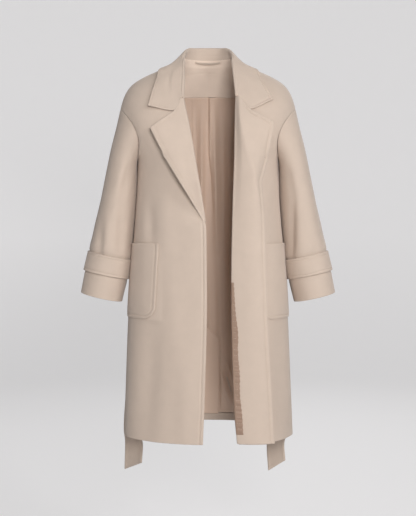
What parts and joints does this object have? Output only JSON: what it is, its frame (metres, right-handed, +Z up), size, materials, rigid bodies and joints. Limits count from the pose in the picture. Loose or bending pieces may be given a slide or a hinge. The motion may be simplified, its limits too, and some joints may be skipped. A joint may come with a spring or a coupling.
{
  "type": "notched lapel coat with belt",
  "caption": "Long straight hollow coat standing as if worn, with notched lapels, one front turned back, patch pockets, strapped cuffs, an open front and a belt hanging at the sides.",
  "frame": {"origin": "the nape: the middle of the back neck seam's height, on the coat's middle plane and above the middle of the neck opening's depth", "axes": "+Z up, -Y towards the front of the coat, +X towards the wearer's left"},
  "size_m": [0.725, 0.3359, 1.2415],
  "materials": {
    "coat_cloth": "brushed wool with a short soft nap, pale taupe",
    "lining_cloth": "smooth lining cloth with a slight sheen, rosy taupe"
  },
  "bodies": {
    "root": {"front_right": "coat_cloth", "front_left": "coat_cloth", "back_right": "coat_cloth", "back_left": "coat_cloth", "sleeve_right": "coat_cloth", "sleeve_left": "coat_cloth", "cuff_strap_right": "coat_cloth", "cuff_strap_left": "coat_cloth", "collar": "coat_cloth", "lapel_right": "coat_cloth", "facing_left": "coat_cloth", "pocket_right": "coat_cloth", "pocket_left": "coat_cloth", "back_neck_facing": "coat_cloth", "back_hem": "coat_cloth", "vent_underlap": "lining_cloth", "hanger_loop": "coat_cloth", "belt_back": "coat_cloth", "belt_end_right": "coat_cloth", "belt_end_left": "coat_cloth", "belt_loop_right": "coat_cloth", "belt_loop_left": "coat_cloth", "back_lining": "lining_cloth", "lining_strip_left": "lining_cloth"}
  },
  "joints": []
}
